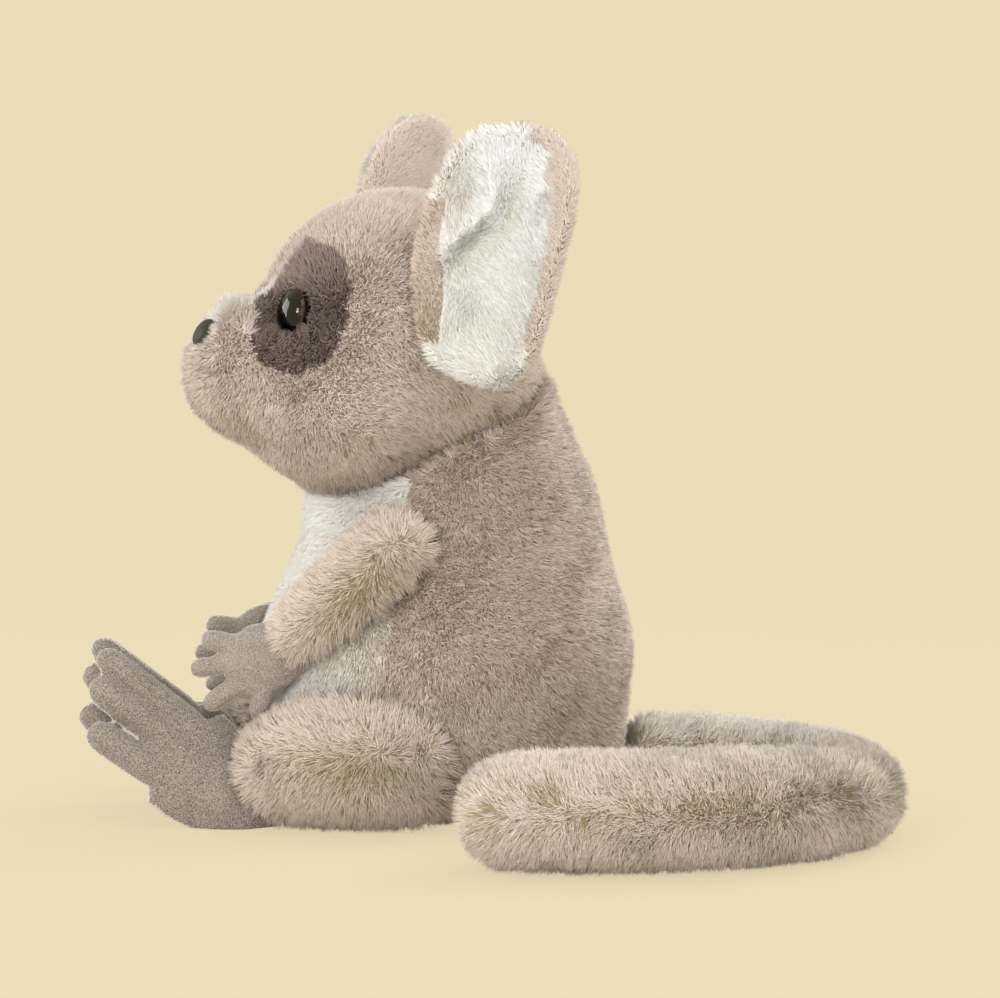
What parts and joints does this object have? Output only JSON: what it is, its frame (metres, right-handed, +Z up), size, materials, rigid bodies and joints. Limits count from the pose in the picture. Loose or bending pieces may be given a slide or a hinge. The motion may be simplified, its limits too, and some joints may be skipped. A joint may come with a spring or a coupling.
{
  "type": "plush bush baby",
  "caption": "Seated soft toy animal in fawn pile cloth: large ears and eyes, pale belly, suede hands and feet, long tail that curls round to one side.",
  "frame": {"origin": "centre of the flat underside of the seat, on the surface the toy sits on", "axes": "+Z up, -Y the way the toy faces, +X its own left; the tail comes forward on +X"},
  "size_m": [0.2465, 0.2976, 0.2622],
  "materials": {
    "fawn_short_pile": "matt short pile",
    "fawn_head_pile": "matt short pile",
    "fawn_long_pile": "matt long pile",
    "cream_pile": "matt short pile",
    "brown_pile": "matt short pile",
    "suede": "soft nap, nearly matt",
    "fibre_filling": "loose white fibre",
    "bean_bag_cloth": "plain woven",
    "clear_eye_plastic": "polished clear",
    "dark_iris_plastic": "polished",
    "nose_plastic": "satin",
    "washer_plastic": "moulded"
  },
  "bodies": {
    "torso": {"torso_back_panel": "fawn_short_pile", "torso_belly_panel": "cream_pile", "torso_stuffing": "fibre_filling", "bean_bag": "bean_bag_cloth"},
    "head": {"head_left_panel": "fawn_head_pile", "head_right_panel": "fawn_head_pile", "head_stuffing": "fibre_filling", "muzzle_stripe": "cream_pile", "nose_button": "nose_plastic", "nose_washer": "washer_plastic", "eye_patch_left": "brown_pile", "eye_cap_left": "clear_eye_plastic", "eye_base_left": "dark_iris_plastic", "eye_washer_left": "washer_plastic", "eye_patch_right": "brown_pile", "eye_cap_right": "clear_eye_plastic", "eye_base_right": "dark_iris_plastic", "eye_washer_right": "washer_plastic"},
    "ear_left": {"ear_back_left": "fawn_head_pile", "ear_lining_left": "cream_pile"},
    "arm_left": {"arm_sleeve_left": "fawn_long_pile", "arm_stuffing_left": "fibre_filling", "hand_inner_panel_left": "suede", "hand_outer_panel_left": "suede"},
    "leg_left": {"leg_sleeve_left": "fawn_long_pile", "leg_stuffing_left": "fibre_filling", "foot_inner_panel_left": "suede", "foot_outer_panel_left": "suede"},
    "ear_right": {"ear_back_right": "fawn_head_pile", "ear_lining_right": "cream_pile"},
    "arm_right": {"arm_sleeve_right": "fawn_long_pile", "arm_stuffing_right": "fibre_filling", "hand_inner_panel_right": "suede", "hand_outer_panel_right": "suede"},
    "leg_right": {"leg_sleeve_right": "fawn_long_pile", "leg_stuffing_right": "fibre_filling", "foot_inner_panel_right": "suede", "foot_outer_panel_right": "suede"},
    "tail": {"tail_sleeve": "fawn_long_pile", "tail_stuffing": "fibre_filling"}
  },
  "joints": [
    {"name": "head_turn", "type": "hinge", "parent": "torso", "child": "head", "pos_m": [0, -0.01, 0.15], "axis": [0, 0, 1], "range_deg": [-10, 10], "stiffness_Nm_per_rad": 0.6},
    {"name": "ear_flap_left", "type": "hinge", "parent": "head", "child": "ear_left", "pos_m": [0.05465, 0.0058, 0.172], "axis": [-0.3048, -0.3012, 0.9035], "range_deg": [-10, 10], "stiffness_Nm_per_rad": 0.08},
    {"name": "ear_flap_right", "type": "hinge", "parent": "head", "child": "ear_right", "pos_m": [-0.05674, -0.00591, 0.172], "axis": [-0.3608, 0.2313, -0.9035], "range_deg": [-10, 10], "stiffness_Nm_per_rad": 0.08},
    {"name": "arm_lift_left", "type": "hinge", "parent": "torso", "child": "arm_left", "pos_m": [0.036, -0.014, 0.114], "axis": [-1, 0, 0], "range_deg": [0, 22], "stiffness_Nm_per_rad": 0.25},
    {"name": "arm_lift_right", "type": "hinge", "parent": "torso", "child": "arm_right", "pos_m": [-0.036, -0.014, 0.114], "axis": [-1, 0, 0], "range_deg": [0, 22], "stiffness_Nm_per_rad": 0.25},
    {"name": "leg_spread_left", "type": "hinge", "parent": "torso", "child": "leg_left", "pos_m": [0.038, -0.008, 0.027], "axis": [0, 0, 1], "range_deg": [0, 20], "stiffness_Nm_per_rad": 0.4},
    {"name": "leg_spread_right", "type": "hinge", "parent": "torso", "child": "leg_right", "pos_m": [-0.038, -0.008, 0.027], "axis": [0, 0, -1], "range_deg": [0, 20], "stiffness_Nm_per_rad": 0.4},
    {"name": "tail_sweep", "type": "hinge", "parent": "torso", "child": "tail", "pos_m": [0, 0.072, 0.017], "axis": [0, 0, 1], "range_deg": [-3, 15], "stiffness_Nm_per_rad": 0.5}
  ]
}
